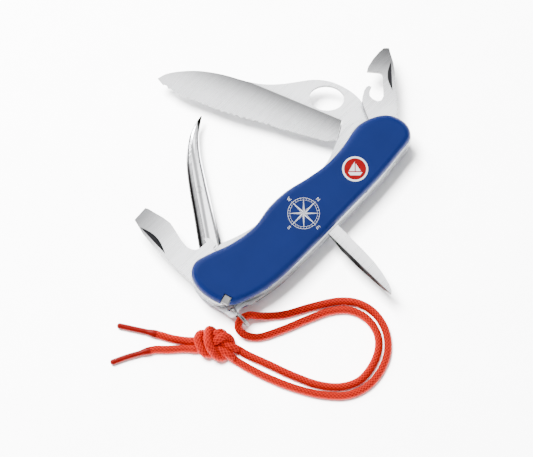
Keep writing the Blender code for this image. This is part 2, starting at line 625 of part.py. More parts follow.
def make_marlinspike(material):
    middle = (SPIKE_Z[0] + SPIKE_Z[1]) / 2
    stations = smooth_open(SPIKE_STATIONS, 2)
    bm = bmesh.new()
    rings = []
    for i, station in enumerate(stations):
        x, y, half_width, half_thick = station
        before, after = stations[max(i - 1, 0)], stations[min(i + 1, len(stations) - 1)]
        along = Vector((after[0] - before[0], after[1] - before[1])).normalized()
        across = Vector((-along.y, along.x))
        ring = []
        for k in range(SPIKE_SECTION_SIDES):
            angle = 2 * math.pi * (k + 0.5) / SPIKE_SECTION_SIDES
            side = math.copysign(abs(math.cos(angle)) ** SPIKE_FULLNESS[0], math.cos(angle)) * half_width
            up = math.copysign(abs(math.sin(angle)) ** SPIKE_FULLNESS[1], math.sin(angle)) * half_thick
            ring.append(bm.verts.new(((x + across.x * side) * MM, (y + across.y * side) * MM,
                                      (middle + up) * MM)))
        rings.append(ring)
    for a, b in zip(rings, rings[1:]):
        for i in range(SPIKE_SECTION_SIDES):
            bm.faces.new((a[i - 1], a[i], b[i], b[i - 1]))
    bm.faces.new(rings[0])
    bm.faces.new(rings[-1])
    spike = new_object("marlinspike", mesh_from(bm, "marlinspike"), material, OPENER_PIVOT, SPIKE_REST)

    outline = [Vector(p) for p in SPIKE_ROOT] + arc((0, 0), SPIKE_TANG_R, 70, 290, 20)
    bm = plate_bmesh(outline, [circle((0, 0), RIVET_HOLE_R)], *SPIKE_Z)
    tang = bpy.data.objects.new("spike_tang_form", mesh_from(bm, "spike_tang_form"))
    bpy.context.collection.objects.link(tang)
    tang.location = spike.location
    tang.rotation_euler = spike.rotation_euler
    tang.hide_render = True
    tang.display_type = "WIRE"
    join = spike.modifiers.new("tang", "BOOLEAN")
    join.operation = "UNION"
    join.solver = "EXACT"
    join.object = tang


def make_small_tools(steel, grey, ivory):
    """Each piece's own origin is its grip's middle, with +X into the scale."""
    half = TOOL_WIDTH / 2
    tail, neck = -GRIP_LENGTH / 2, GRIP_LENGTH / 2
    tip = SLOT_LENGTH - GRIP_LENGTH - TOOL_END_GAP
    inner = FRONT_SCALE_Z[0]
    end = neck - LEAF_END_GAP
    grip = [Vector((tail, -half)), Vector((end, -half)), Vector((end, half)), Vector((tail, half))]
    plate("tweezers_grip", grip, [], (inner + GRIP_LOW, inner + GRIP_HIGH), grey, *TWEEZERS_SLOT)

    low = inner + LEAF_LOW
    spread = LEAF_THICK + LEAF_GAP
    root = neck + LEAF_END_GAP
    fork = neck + FORK_LENGTH
    side = [(root, low), (tip, low), (tip, low + LEAF_THICK), (fork, low + LEAF_THICK), (fork, low + spread),
            (tip, low + spread), (tip, low + spread + LEAF_THICK), (root, low + spread + LEAF_THICK)]
    bm = bmesh.new()
    left = [bm.verts.new((x * MM, -half * MM, z * MM)) for x, z in side]
    right = [bm.verts.new((x * MM, half * MM, z * MM)) for x, z in side]
    for i in range(len(side)):
        bm.faces.new((left[i - 1], left[i], right[i], right[i - 1]))
    bm.faces.new(left)
    bm.faces.new(right)
    new_object("tweezers", mesh_from(bm, "tweezers"), steel, *TWEEZERS_SLOT)

    side = [(tail, half), (neck, half), (neck + 2, half * PICK_NECK_SHARE),
            (tip - PICK_POINT_LENGTH, half * PICK_SHARE), (tip, PICK_TIP_HALF)]
    pick = [Vector((x, -y)) for x, y in side] + [Vector((x, y)) for x, y in reversed(side)]
    high = REAR_SCALE_Z[1] - TOOTHPICK_DROP
    plate("toothpick", pick, [], (high - TOOTHPICK_THICK, high), ivory, *TOOTHPICK_SLOT)


# ---------------------------------------------------------------- lanyard
def make_split_ring(material):
    """The ring stands upright through the lug, with its plane across the knife."""
    bpy.ops.mesh.primitive_torus_add(major_segments=36, minor_segments=8, major_radius=RING_R * MM,
                                     minor_radius=RING_WIRE_R * MM)
    ring = bpy.context.active_object
    ring.name = "split_ring"
    middle = (BLADE_LOCK_Z[0] + BLADE_LOCK_Z[1]) / 2
    for vert in ring.data.vertices:
        x, y, z = vert.co
        vert.co = (z, x - RING_R * MM, y + middle * MM)
    ring.location = (LUG_HOLE[0] * MM, LUG_HOLE[1] * MM, 0.0)
    ring.data.materials.append(material)
    ring.data.shade_smooth()


def tube(name, points, radius, material, end_radius=None):
    """A round cord or sleeve along a path; the radius may fall to another over its first third."""
    curve = bpy.data.curves.new(name, "CURVE")
    curve.dimensions = "3D"
    curve.bevel_depth = radius * MM
    curve.bevel_resolution = 2
    curve.use_fill_caps = True
    spline = curve.splines.new("POLY")
    spline.points.add(len(points) - 1)
    for i, (point, place) in enumerate(zip(spline.points, points)):
        point.co = (place.x * MM, place.y * MM, place.z * MM, 1.0)
        if end_radius:
            point.radius = 1.0 + (end_radius / radius - 1.0) * min(1.0, i / (len(points) / 3))
    curve.materials.append(material)
    obj = bpy.data.objects.new(name, curve)
    bpy.context.collection.objects.link(obj)


def strands():
    """One smooth curve from the knot through the ring and back, parted at the ring."""
    steps = 2
    path = smooth_open(STRAND_B[::-1] + [CORD_AT_RING] + STRAND_A, steps)
    middle = len(STRAND_B) * steps
    halves = [path[middle:], path[middle::-1]]
    for half in halves:
        half[0] = half[0] + (half[1] - half[0]).normalized() * (MEET_GAP / 2)
    return halves


def make_cord(cord, sleeve):
    radius = CORD_D / 2
    strand_a, strand_b = strands()
    tube("cord_strand_a", strand_a, radius, cord)
    tube("cord_strand_b", strand_b, radius, cord)
    tube("cord_tail_a", smooth_open(TAIL_A, 2), radius, cord)
    tube("cord_tail_b", smooth_open(TAIL_B, 2), radius, cord)
    tube("sleeve_a", smooth_open(SLEEVE_A, 2), radius, sleeve, SLEEVE_R)
    tube("sleeve_b", smooth_open(SLEEVE_B, 2), radius, sleeve, SLEEVE_R)
    bpy.ops.mesh.primitive_uv_sphere_add(segments=16, ring_count=10, radius=1.0)
    knot = bpy.context.active_object
    knot.name = "cord_knot"
    for vert in knot.data.vertices:
        vert.co = Vector([vert.co[i] * KNOT_HALF[i] * MM for i in range(3)])
    knot.location = [c * MM for c in KNOT_AT]
    knot.rotation_euler = (0.0, 0.0, math.radians(KNOT_TURN))
    knot.data.materials.append(cord)
    knot.data.shade_smooth()


def main():
    clear_scene()
    steel = make_material("satin_steel", (0.62, 0.63, 0.65), 0.3, 1.0)
    polished = make_material("polished_steel", (0.75, 0.76, 0.78), 0.12, 1.0)
    spring_steel = make_material("spring_steel", (0.5, 0.51, 0.53), 0.35, 1.0)
    nylon = make_material("blue_nylon", (0.01, 0.06, 0.28), 0.45, 0.0)
    brass = make_material("rivet_brass", (0.6, 0.45, 0.2), 0.35, 1.0)
    grey = make_material("grey_grip", (0.6, 0.61, 0.62), 0.5, 0.0)
    ivory = make_material("ivory_pick", (0.75, 0.72, 0.62), 0.5, 0.0)
    cord = make_material("orange_cord", (0.85, 0.08, 0.02), 0.7, 0.0)
    sleeve = make_material("red_sleeve", (0.6, 0.05, 0.01), 0.25, 0.0)
    make_scales(nylon)
    make_liners(steel)
    make_springs(spring_steel)
    make_rivets(brass, spring_steel)
    make_main_blade(steel)
    make_can_opener(steel)
    make_bottle_opener(steel)
    make_reamer(steel)
    make_marlinspike(polished)
    make_small_tools(steel, grey, ivory)
    make_split_ring(polished)
    make_cord(cord, sleeve)


main()
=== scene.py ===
"""Looks of the rigging knife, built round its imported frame.

Everything is in the knife's own frame.  The knife's own sizes and places are in millimetres, and
add_mesh turns them into metres; the camera, the lights and the table are in metres.  The knife lies on
its rear scale on a pale table, with its tools part open and its doubled cord lanyard beside it.
"""

import math

import bpy
import numpy as np
from mathutils import Matrix, Vector


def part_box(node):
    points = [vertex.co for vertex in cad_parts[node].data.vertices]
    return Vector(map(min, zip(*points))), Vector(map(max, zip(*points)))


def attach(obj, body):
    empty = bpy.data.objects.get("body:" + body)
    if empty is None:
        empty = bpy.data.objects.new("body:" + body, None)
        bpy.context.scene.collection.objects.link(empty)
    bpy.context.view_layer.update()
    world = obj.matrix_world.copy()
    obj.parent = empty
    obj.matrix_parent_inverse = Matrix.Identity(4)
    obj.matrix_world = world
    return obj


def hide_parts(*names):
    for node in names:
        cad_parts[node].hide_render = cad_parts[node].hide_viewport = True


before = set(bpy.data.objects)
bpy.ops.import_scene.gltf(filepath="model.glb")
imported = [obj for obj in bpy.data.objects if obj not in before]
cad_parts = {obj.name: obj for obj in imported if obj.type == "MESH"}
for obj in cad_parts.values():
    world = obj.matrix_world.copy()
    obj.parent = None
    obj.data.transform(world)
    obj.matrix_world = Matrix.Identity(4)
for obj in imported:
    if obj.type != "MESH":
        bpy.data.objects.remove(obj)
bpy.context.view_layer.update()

MM = 0.001

# ---------------------------------------------------------------- camera
# The camera looks down on the table, tilted a little, with the knife's +X +Y diagonal up the picture.
TARGET = Vector((-0.01406, 0.00740, 0.0))
CAMERA_DISTANCE = 0.70
CAMERA_TILT = math.radians(13.0)
SENSOR_MM = 36.0
LENS_MM = 111.1
CLIP_NEAR = 0.01
CLIP_FAR = 10.0
PICTURE_RIGHT = Vector((1, -1, 0)).normalized()
TABLE_UP = Vector((1, 1, 0)).normalized()

# ---------------------------------------------------------------- tools
# Each tool is its pivot and its direction at rest, in degrees.
BLADE = ((47.0, -3.0), 120.0)
CAN = ((47.0, -3.0), 45.0)
BOTTLE = ((-45.2, 4.4), 97.5)
SPIKE = ((-45.2, 4.4), 52.5)
REAMER = ((2.6, -9.6), -90.0)
# Nail nicks, in the tool's frame: start, end, and how far the crescent bulges.
CAN_NICK = ((20.9, -2.9), (33.4, -2.5), 1.7)
BOTTLE_NICK = ((38.6, 3.1), (23.8, 5.5), 2.0)
NICK_FLOOR_Z = 14.6
NICK_INLAY_THICK = 0.12
NICK_STEPS = 16
# The inlay stops a little short of the nick's walls and ends.
NICK_BULGE_SHARE = 0.96
NICK_END_SHARE = 0.02
# The dimple's rim is a fine wire.  Closed in the handle, its top clears the liner over it by 0.04.
SPIKE_DIMPLE = (39.9, 3.5)
DIMPLE_RIM_Z = 8.56
DIMPLE_R = 1.4
DIMPLE_RIM_R = 0.10
DIMPLE_STEPS = 48
DIMPLE_RIM_SIDES = 10

# ---------------------------------------------------------------- prints on the front scale
FACE_Z = 19.5
PRINT_THICK = 0.03
ROSE_AT = (-1.8, -2.1)
ROSE_R = 6.6
ROSE_INNER_R = 5.7
ROSE_LETTER_R = 8.5
ROSE_RING_HALF = 0.055
ROSE_INNER_RING_HALF = 0.035
ROSE_TICKS = 32
TICK_WIDTH = 0.07
ROSE_POINTS = 8
ROSE_POINT_LINE = 0.09
# How far a point of the rose reaches, and how far out its waist is, on the main and the other points.
MAIN_POINT = (ROSE_R + 0.5, 1.10)
OTHER_POINT = (ROSE_R - 0.2, 0.95)
WAIST_TURN = 22.5
BAND_SIDES = 72
BADGE_AT = (26.9, -3.9)
BADGE_R = 5.4
BADGE_RIM_WIDTH = 0.75
BADGE_FIELD_R = BADGE_R - 0.7
BADGE_FIELD_SIDES = 64
# The badge's boat, seen upright: two sails and the hull.  It stands along the knife's diagonal.
BOAT = (
    [(-0.2, 3.1), (-0.2, -0.9), (-2.6, -0.9)],
    [(0.25, 2.4), (2.3, -0.9), (0.25, -0.9)],
    [(-3.0, -1.4), (3.0, -1.4), (2.0, -2.7), (-2.0, -2.7)],
)
DIAGONAL = 0.7071
STROKE = 0.15
# How far a stroke runs past its ends, in half widths, so that strokes meet at corners.
STROKE_OVERRUN = 0.8
# Letters as strokes, each a list of points, with the letter's middle at 0, 0.
LETTERS = {
    "N": [[(-0.5, -0.7), (-0.5, 0.7), (0.5, -0.7), (0.5, 0.7)]],
    "E": [[(0.45, 0.7), (-0.45, 0.7), (-0.45, -0.7), (0.45, -0.7)], [(-0.45, 0.0), (0.3, 0.0)]],
    "S": [[(0.45, 0.5), (0.15, 0.7), (-0.25, 0.65), (-0.45, 0.35), (-0.25, 0.08), (0.25, -0.08),
           (0.45, -0.35), (0.25, -0.65), (-0.15, -0.7), (-0.45, -0.5)]],
    "W": [[(-0.75, 0.7), (-0.4, -0.7), (0.0, 0.5), (0.4, -0.7), (0.75, 0.7)]],
}

# ---------------------------------------------------------------- cord
# Its route, the same points as the CAD's: from the ring round the loop to the knot, and on to the tails.
CORD_D = 3.2
CORD_AT_RING = (-50.1, -13.6, 6.95)
STRAND_A = [
    (-48, -14, 6.8), (-46, -15, 6), (-43.5, -17.5, 4), (-40, -20.5, 2.1), (-35, -24.5, 1.7),
    (-25, -30, 1.7), (-15, -36.5, 1.7), (-10, -42.5, 1.7), (-8, -50, 1.7), (-10, -59, 1.7),
    (-16, -66, 1.7), (-24, -69.5, 1.7), (-32.5, -70, 1.7), (-40.5, -67, 1.7), (-47.5, -60, 1.7),
    (-53.5, -50.5, 1.7), (-58.5, -39.5, 1.7), (-62, -29, 1.7), (-63.5, -22.7, 1.9),
]
STRAND_B = [
    (-52, -14, 6.8), (-53.5, -15.5, 5.8), (-53.5, -18, 4), (-52, -21, 2.1), (-49, -24, 1.7),
    (-40, -28.5, 1.7), (-29, -33, 1.7), (-20.5, -37, 1.7), (-14.5, -42.5, 1.7), (-12, -50, 1.7),
    (-13.5, -57.5, 1.7), (-18, -62.5, 1.7), (-25, -65.5, 1.7), (-33, -66, 1.7), (-40, -62.5, 1.7),
    (-46, -55.5, 1.7), (-51, -45, 1.7), (-55, -34, 1.7), (-58, -26, 1.7), (-59.3, -21.6, 1.9),
]
TAIL_UPPER = [(-71, -4.5, 1.9), (-73, -2, 1.7), (-75.5, 1.5, 1.7), (-78, 6, 1.7), (-79.5, 8.5, 1.65)]
TAIL_LOWER = [(-73, -7, 1.9), (-76, -4, 1.7), (-80, -0.5, 1.7), (-84, 3.5, 1.7), (-86.5, 5, 1.65)]
SLEEVE_UPPER = [(-79.7, 8.8, 1.65), (-81.5, 11.8, 1.45), (-84.5, 16.5, 1.35), (-88, 22, 1.35)]
SLEEVE_LOWER = [(-86.8, 5.2, 1.65), (-90, 7, 1.45), (-94.5, 9.5, 1.35), (-101, 12.5, 1.35)]
SLEEVE_END_D = 2.5

# The knot is an overhand knot in the doubled cord.  Each cord's way through it, from its strand to its
# tail: picture right, picture up and height, from the knot's middle.
KNOT_AT = (-64.6, -12.2)
KNOT_A = [
    (5.8, -5.0, 4.2), (3.0, -3.6, 5.2), (0.6, -1.6, 4.4), (-2.0, 0.8, 2.6), (-4.6, 3.4, 2.2),
    (-6.6, 5.2, 4.4), (-6.6, 4.6, 7.2), (-5.5, 1.4, 8.8), (-4.4, -2.2, 8.4), (-3.4, -5.0, 6.4),
    (-2.2, -6.2, 3.6), (0.2, -4.6, 1.8), (3.4, -0.8, 1.8), (5.8, 2.4, 2.6), (7.0, 4.4, 5.0),
    (5.6, 4.4, 7.4), (3.2, 3.4, 8.0), (0.2, 2.2, 6.4), (-3.6, 0.8, 5.6), (-7.0, 0.6, 3.6),
]
KNOT_B = [
    (8.2, -2.0, 4.0), (5.2, -1.2, 5.4), (2.6, 0.8, 4.4), (0.4, 3.4, 2.6), (-1.2, 5.8, 3.2),
    (-2.4, 7.2, 5.8), (-2.0, 5.6, 8.4), (-1.0, 1.6, 9.4), (0.0, -2.4, 9.0), (1.0, -5.6, 7.4),
    (2.0, -7.4, 4.4), (4.2, -5.6, 1.9), (7.0, -2.0, 1.8), (9.0, 0.6, 3.6), (8.4, 1.4, 6.6),
    (5.6, 0.8, 8.8), (2.4, -0.2, 7.6), (-1.0, -1.6, 5.8), (-4.6, -2.6, 5.2), (-7.4, -3.0, 3.4),
]
# Each cord's length inside the knot once it is drawn tight, and how it is drawn: the points on each
# cord, the rounds, the share of them in which it shortens, how close the cords may press in diameters,
# how far each round lowers them, how strongly they straighten and push, and how far the knot stays up.
KNOT_CORD = 53.0
KNOT_ROUTE_STEPS = 12
KNOT_POINTS = 90
KNOT_ROUNDS = 400
KNOT_SHORTENING = 0.6
KNOT_SQUEEZE = 0.965
KNOT_PRESS = 0.014
KNOT_STRAIGHTEN = 0.10
KNOT_PUSH = 0.14
KNOT_PUSH_ROUNDS = 3
KNOT_LIFT = 0.05
# Points of one cord nearer than this along it, in pressed diameters, don't push each other.
KNOT_NEIGHBOURS = 1.5
KNOT_FATTER = 1.11
KNOT_FATTER_OVER = 5.0

# The cord's line, and its braid: yarns each way, length of one turn, and how fine its surface is.
ROUTE_STEPS = 8
LINE_SMOOTHING = 6
BRAID_YARNS = 7
BRAID_PITCH = 11.0
BRAID_SIDES = 42
BRAID_STEP = 0.36
BRAID_RELIEF = 0.24
# The share of the relief that lies inside the cord's diameter, and how high the lower yarns stay.
BRAID_SUNK_SHARE = 0.7
BRAID_UNDER_SHARE = 0.45

# Sleeves: overlap on the cord, wall, and the shares of the length between which they thin to their own
# size.  The last points draw in to a blunt tip.
SLEEVE_OVERLAP = 1.2
SLEEVE_WALL = 0.12
SLEEVE_THIN_END = 0.275
SLEEVE_THIN_OVER = 0.22
SLEEVE_STEPS = 10
SLEEVE_POINTS = 70
SLEEVE_SIDES = 20
SLEEVE_TIP_POINTS = 4
SLEEVE_TIP_LEAST = 0.10

# Split ring: two turns of wire side by side that step across half way.
RING_WIDTH = 1.1
RING_WIRE_D = RING_WIDTH * 0.62
RING_TURNS = 2.0
RING_STEPS = 240
RING_SIDES = 14
RING_START = math.radians(70)
RING_STEP_FROM = 0.44
RING_STEP_OVER = 0.12
RING_END_POINTS = 3
RING_END_SHARE = 0.6

# Narrow bevels on the steel plates' sharp edges.
EDGE_BREAKS = {"can_opener": 0.22, "bottle_opener": 0.22, "reamer": 0.18,
               "front_liner": 0.10, "opener_lock_liner": 0.10, "blade_lock_liner": 0.10, "rear_liner": 0.10}
WELD_DISTANCE = 0.004
SHARP_EDGE = math.radians(50)


# ---------------------------------------------------------------- curves
def curve_point(p0, p1, p2, p3, t):
    """Centripetal Catmull-Rom between p1 and p2."""
    knots = [0.0]
    for a, b in ((p0, p1), (p1, p2), (p2, p3)):
        knots.append(knots[-1] + max((b - a).length ** 0.5, 1e-6))
    at = knots[1] + t * (knots[2] - knots[1])

    def blend(a, b, low, high):
        return a * ((high - at) / (high - low)) + b * ((at - low) / (high - low))

    a1 = blend(p0, p1, knots[0], knots[1])
    a2 = blend(p1, p2, knots[1], knots[2])
    a3 = blend(p2, p3, knots[2], knots[3])
    b1 = blend(a1, a2, knots[0], knots[2])
    b2 = blend(a2, a3, knots[1], knots[3])
    return blend(b1, b2, knots[1], knots[2])


def smooth_open(points, steps):
    """A smooth curve through the points, both ends kept."""
    pts = [Vector(p) for p in points]
    pts = [pts[0] * 2 - pts[1]] + pts + [pts[-1] * 2 - pts[-2]]
    out = []
    for i in range(1, len(pts) - 2):
        out += [curve_point(*pts[i - 1:i + 3], k / steps) for k in range(steps)]
    return out + [pts[-2]]


def spaced(points, count):
    """The line again, as that many points at even distances, as an array."""
    line = np.array([tuple(p) for p in points], float)
    along = np.concatenate([[0], np.cumsum(np.linalg.norm(np.diff(line, axis=0), axis=1))])
    at = np.linspace(0, along[-1], count)
    return np.stack([np.interp(at, along, line[:, k]) for k in range(3)], axis=1)


def length_of(line):
    return float(np.linalg.norm(np.diff(np.array(line), axis=0), axis=1).sum())


# ---------------------------------------------------------------- the knot
def knot_start():
    """The two cords through the knot before it is drawn tight, from strand to tail, as even points."""
    cords = []
    for start, route, end in ((STRAND_A[-1], KNOT_A, TAIL_UPPER[0]), (STRAND_B[-1], KNOT_B, TAIL_LOWER[0])):
        middle = [Vector((*KNOT_AT, w)) + PICTURE_RIGHT * u + TABLE_UP * v for u, v, w in route]
        cords.append(spaced(smooth_open([start] + middle + [end], KNOT_ROUTE_STEPS), KNOT_POINTS))
    return np.array(cords)


def draw_tight(cords):
    """Shorten both cords between their fixed ends while they press on each other and on the table."""
    pos = cords.copy()
    first, last = pos[:, :2].copy(), pos[:, -2:].copy()
    count = pos.shape[1]
    start_step = np.array([length_of(c) for c in pos]) / (count - 1)
    end_step = KNOT_CORD / (count - 1)
    apart = CORD_D * KNOT_SQUEEZE
    owner = np.repeat(np.arange(2), count)
    index = np.tile(np.arange(count), 2)
    same_cord = owner[:, None] == owner[None]
    near = same_cord & (np.abs(index[:, None] - index[None]) * end_step < apart * KNOT_NEIGHBOURS)
    for turn in range(KNOT_ROUNDS):
        share = min(1.0, turn / (KNOT_ROUNDS * KNOT_SHORTENING))
        step = start_step * (1 - share) + end_step * share
        pos[:, 1:-1, 2] -= KNOT_PRESS
        pos[:, 1:-1] += KNOT_STRAIGHTEN * ((pos[:, :-2] + pos[:, 2:]) / 2 - pos[:, 1:-1])
        for parity in (0, 1, 0, 1):
            a, b = pos[:, parity:-1:2], pos[:, parity + 1::2]
            gap = b - a
            size = np.linalg.norm(gap, axis=2, keepdims=True)
            move = gap * (0.5 * (1 - step[:, None, None] / np.maximum(size, 1e-9)))
            pos[:, parity:-1:2] += move
            pos[:, parity + 1::2] -= move
        flat = pos.reshape(-1, 3)
        for _ in range(KNOT_PUSH_ROUNDS):
            gap = flat[:, None] - flat[None]
            size = np.linalg.norm(gap, axis=2)
            size[near] = apart
            push = np.clip(apart - size, 0, None) / np.maximum(size, 1e-6)
            flat += (gap * push[..., None]).sum(1) * KNOT_PUSH
        flat[:, 2] = np.maximum(flat[:, 2], CORD_D * KNOT_FATTER / 2 + KNOT_LIFT)
        pos = flat.reshape(2, count, 3)
        pos[:, :2], pos[:, -2:] = first, last
    return pos


# ---------------------------------------------------------------- camera
def make_camera():
    """A still camera over the table that looks at the target."""
    back = Vector((0, 0, math.cos(CAMERA_TILT))) - TABLE_UP * math.sin(CAMERA_TILT)
    up = back.cross(PICTURE_RIGHT)
    data = bpy.data.cameras.new("camera")
    data.sensor_width = SENSOR_MM
    data.lens = LENS_MM
    data.clip_start = CLIP_NEAR
    data.clip_end = CLIP_FAR
    camera = bpy.data.objects.new("camera", data)
    bpy.context.scene.collection.objects.link(camera)
    turn = Matrix((PICTURE_RIGHT, up, back)).transposed()
    camera.matrix_world = Matrix.Translation(TARGET + back * CAMERA_DISTANCE) @ turn.to_4x4()
    bpy.context.scene.camera = camera


# ---------------------------------------------------------------- mesh helpers
def add_mesh(name, vertices, faces, smooth=True, sharp_degrees=None):
    """A mesh object in the knife's frame, from points in millimetres."""
    mesh = bpy.data.meshes.new(name)
    mesh.from_pydata([tuple(c * MM for c in v) for v in vertices], [], faces)
    mesh.update()
    obj = bpy.data.objects.new(name, mesh)
    bpy.context.scene.collection.objects.link(obj)
    if smooth:
        mesh.shade_smooth()
    if sharp_degrees:
        mesh.set_sharp_from_angle(angle=math.radians(sharp_degrees))
    return obj


def frames_along(line):
    """Two directions square to the line at each of its points, turning as little as they can."""
    count = len(line)
    ways = [Vector(line[min(i + 1, count - 1)] - line[max(i - 1, 0)]).normalized() for i in range(count)]
    upright = Vector((0, 0, 1))
    across = (upright - ways[0] * upright.dot(ways[0])).normalized()
    frames = []
    for direction in ways:
        across = (across - direction * across.dot(direction)).normalized()
        frames.append((across, direction.cross(across)))
    return frames


def sweep(line, section):
    """Vertices and faces of a capped tube along a line; section(i) gives (radius, angle) pairs at point i."""
    vertices, faces = [], []
    rings = [section(i) for i in range(len(line))]
    sides = len(rings[0])
    for point, ring, (across, over) in zip(line, rings, frames_along(line)):
        for radius, angle in ring:
            offset = across * (radius * math.cos(angle)) + over * (radius * math.sin(angle))
            vertices.append(Vector(point) + offset)
    for i in range(len(line) - 1):
        low, high = i * sides, (i + 1) * sides
        for k in range(sides):
            after = (k + 1) % sides
            faces.append((low + k, low + after, high + after, high + k))
    last = (len(line) - 1) * sides
    faces.append(list(range(sides))[::-1])
    faces.append(list(range(last, last + sides)))
    return vertices, faces


# ---------------------------------------------------------------- materials
MIX_SHARE, MIX_A, MIX_B, MIX_RESULT = 0, 6, 7, 2
GRAIN_SCALE = 1400
GRAIN_STRETCH = (0.05, 1.0, 1.0)
GRAIN_DEPTH_MM = 0.02
# How upright or flat a face is, as the height of its normal, where the painted shade of upright walls starts
# and ends.
WALL_UPRIGHT = 0.55
WALL_FLAT = 0.97
STEEL_TINGE = (0.985, 0.993, 1.015)
NYLON_BLUES = ((0.0020, 0.0125, 0.104), (0.0030, 0.0150, 0.118))
# The cord's orange with painted shade in the gaps between the yarns, and on the yarns' crowns.
CORD_GAP_SHADE_ORANGES = ((0.24, 0.0045, 0.0020), (0.66, 0.0160, 0.0048))
SLEEVE_REDS = ((0.20, 0.0020, 0.0010), (0.27, 0.0035, 0.0015))

# Tools: material, tool, where its greys start and end in the tool's frame, the greys (painted reflections)
# and their places from 0 to 1 on that way, roughness, the share of the colour that side walls keep under
# painted shade, and the plunge.
TOOL_STEELS = {
    "blade": ("main_blade_look", BLADE, (45.0, -9.6), (47.2, 5.2),
              ((0.0, 0.72), (0.14, 0.66), (0.17, 0.10), (0.34, 0.20), (0.70, 0.46), (1.0, 0.58)),
              0.27, 0.10, ((19.9, 0.0), (20.3, 0.0))),
    "can": ("can_opener_look", CAN, (12.0, 0.0), (40.0, 0.0),
            ((0.0, 0.66), (0.45, 0.46), (0.75, 0.16), (1.0, 0.06)), 0.28, 0.10, None),
    "bottle": ("bottle_opener_look", BOTTLE, (12.0, 0.0), (43.0, 0.0),
               ((0.0, 0.80), (0.40, 0.66), (0.75, 0.30), (1.0, 0.14)), 0.28, 0.10, None),
    "reamer": ("reamer_look", REAMER, (20.0, 0.6), (20.0, -3.4),
               ((0.0, 0.62), (0.72, 0.46), (0.78, 0.02), (1.0, 0.01)), 0.26, 0.10, None),
    "spike": ("marlinspike_look", SPIKE, (20.0, 7.2), (20.5, -2.8),
              ((0.0, 0.003), (0.17, 0.005), (0.22, 0.30), (0.29, 0.84), (0.40, 0.60), (0.46, 0.16),
               (0.54, 0.20), (0.60, 0.84), (0.86, 0.84), (0.92, 0.04), (1.0, 0.003)), 0.16, 1.0, None),
}
# Steels: material, darker and lighter grey, roughness, the grain's direction in degrees and its
# strength, and the share of the colour that side walls keep under painted shade.
STEELS = {
    "shade": ("nick_shade_look", (0.010, 0.010, 0.011), (0.02, 0.02, 0.022), 0.34, 0.0, 0.03, 1.0),
    "satin": ("satin_steel_look", (0.56, 0.57, 0.59), (0.64, 0.65, 0.67), 0.30, 0.0, 0.03, 1.0),
    "liner": ("liner_steel_look", (0.56, 0.57, 0.59), (0.66, 0.67, 0.69), 0.30, 0.0, 0.004, 0.55),
    "spring": ("spring_steel_look", (0.20, 0.20, 0.21), (0.26, 0.26, 0.27), 0.36, 0.0, 0.004, 0.6),
    "ring": ("ring_steel_look", (0.34, 0.34, 0.34), (0.46, 0.46, 0.46), 0.14, 90.0, 0.01, 0.35),
    "brass": ("rivet_brass_look", (0.48, 0.33, 0.13), (0.60, 0.43, 0.18), 0.34, 0.0, 0.03, 1.0),
}
# Plastics and prints: material, darker and lighter colour, roughness and shine.
PLASTICS = {
    "grey": ("grey_grip_look", (0.20, 0.20, 0.205), (0.26, 0.26, 0.265), 0.45, 0.2),
    "ivory": ("ivory_pick_look", (0.62, 0.56, 0.44), (0.72, 0.67, 0.56), 0.45, 0.5),
    "white": ("white_print_look", (0.88, 0.90, 0.93), (0.94, 0.95, 0.97), 0.5, 0.5),
    "red": ("red_badge_look", (0.24, 0.0008, 0.0030), (0.30, 0.0012, 0.0042), 0.4, 0.05),
}


def new_material(name):
    material = bpy.data.materials.new(name)
    material.use_nodes = True
    tree = material.node_tree
    return material, tree, tree.nodes["Principled BSDF"]


def node(tree, kind, **values):
    """A shader node with its properties and its sockets' values set."""
    made = tree.nodes.new(kind)
    for key, value in values.items():
        if key in made.inputs:
            made.inputs[key].default_value = value
        else:
            setattr(made, key, value)
    return made


def noise(tree, scale, detail, stretch=(1, 1, 1), turn=0.0):
    """Noise in the knife's own frame, stretched along its axes; scale is in features per metre."""
    place = tree.nodes.new("ShaderNodeTexCoord")
    mapping = node(tree, "ShaderNodeMapping")
    mapping.inputs["Scale"].default_value = stretch
    mapping.inputs["Rotation"].default_value = (0, 0, turn)
    texture = node(tree, "ShaderNodeTexNoise", Scale=scale, Detail=detail)
    tree.links.new(place.outputs["Object"], mapping.inputs["Vector"])
    tree.links.new(mapping.outputs["Vector"], texture.inputs["Vector"])
    return texture.outputs["Fac"]


def grain_lines(tree, degrees):
    """The fine lines of ground steel, along one direction of the knife's frame."""
    return noise(tree, GRAIN_SCALE, 3.0, GRAIN_STRETCH, -math.radians(degrees))


def remap(tree, value, low, high, to_low, to_high):
    made = node(tree, "ShaderNodeMapRange")
    made.inputs["From Min"].default_value = low
    made.inputs["From Max"].default_value = high
    made.inputs["To Min"].default_value = to_low
    made.inputs["To Max"].default_value = to_high
    tree.links.new(value, made.inputs["Value"])
    return made.outputs["Result"]


def bump(tree, shader, height, strength, distance_mm):
    made = node(tree, "ShaderNodeBump", Strength=strength, Distance=distance_mm * MM)
    tree.links.new(height, made.inputs["Height"])
    tree.links.new(made.outputs["Normal"], shader.inputs["Normal"])


def rough(tree, shader, value, middle, spread):
    """Roughness round a middle value, as noise goes through its usual range."""
    around = remap(tree, value, 0.3, 0.7, middle - spread, middle + spread)
    tree.links.new(around, shader.inputs["Roughness"])


def mix_colours(tree, share, dark, light):
    """From one colour to the other as the share goes from 0 to 1."""
    made = node(tree, "ShaderNodeMix", data_type="RGBA")
    made.inputs[MIX_A].default_value = (*dark, 1)
    made.inputs[MIX_B].default_value = (*light, 1)
    tree.links.new(share, made.inputs[MIX_SHARE])
    return made.outputs[MIX_RESULT]


def tint(tree, shader, value, low, high, dark, light):
    """Base colour from dark to light as the value goes from low to high."""
    colour = mix_colours(tree, remap(tree, value, low, high, 0, 1), dark, light)
    tree.links.new(colour, shader.inputs["Base Color"])


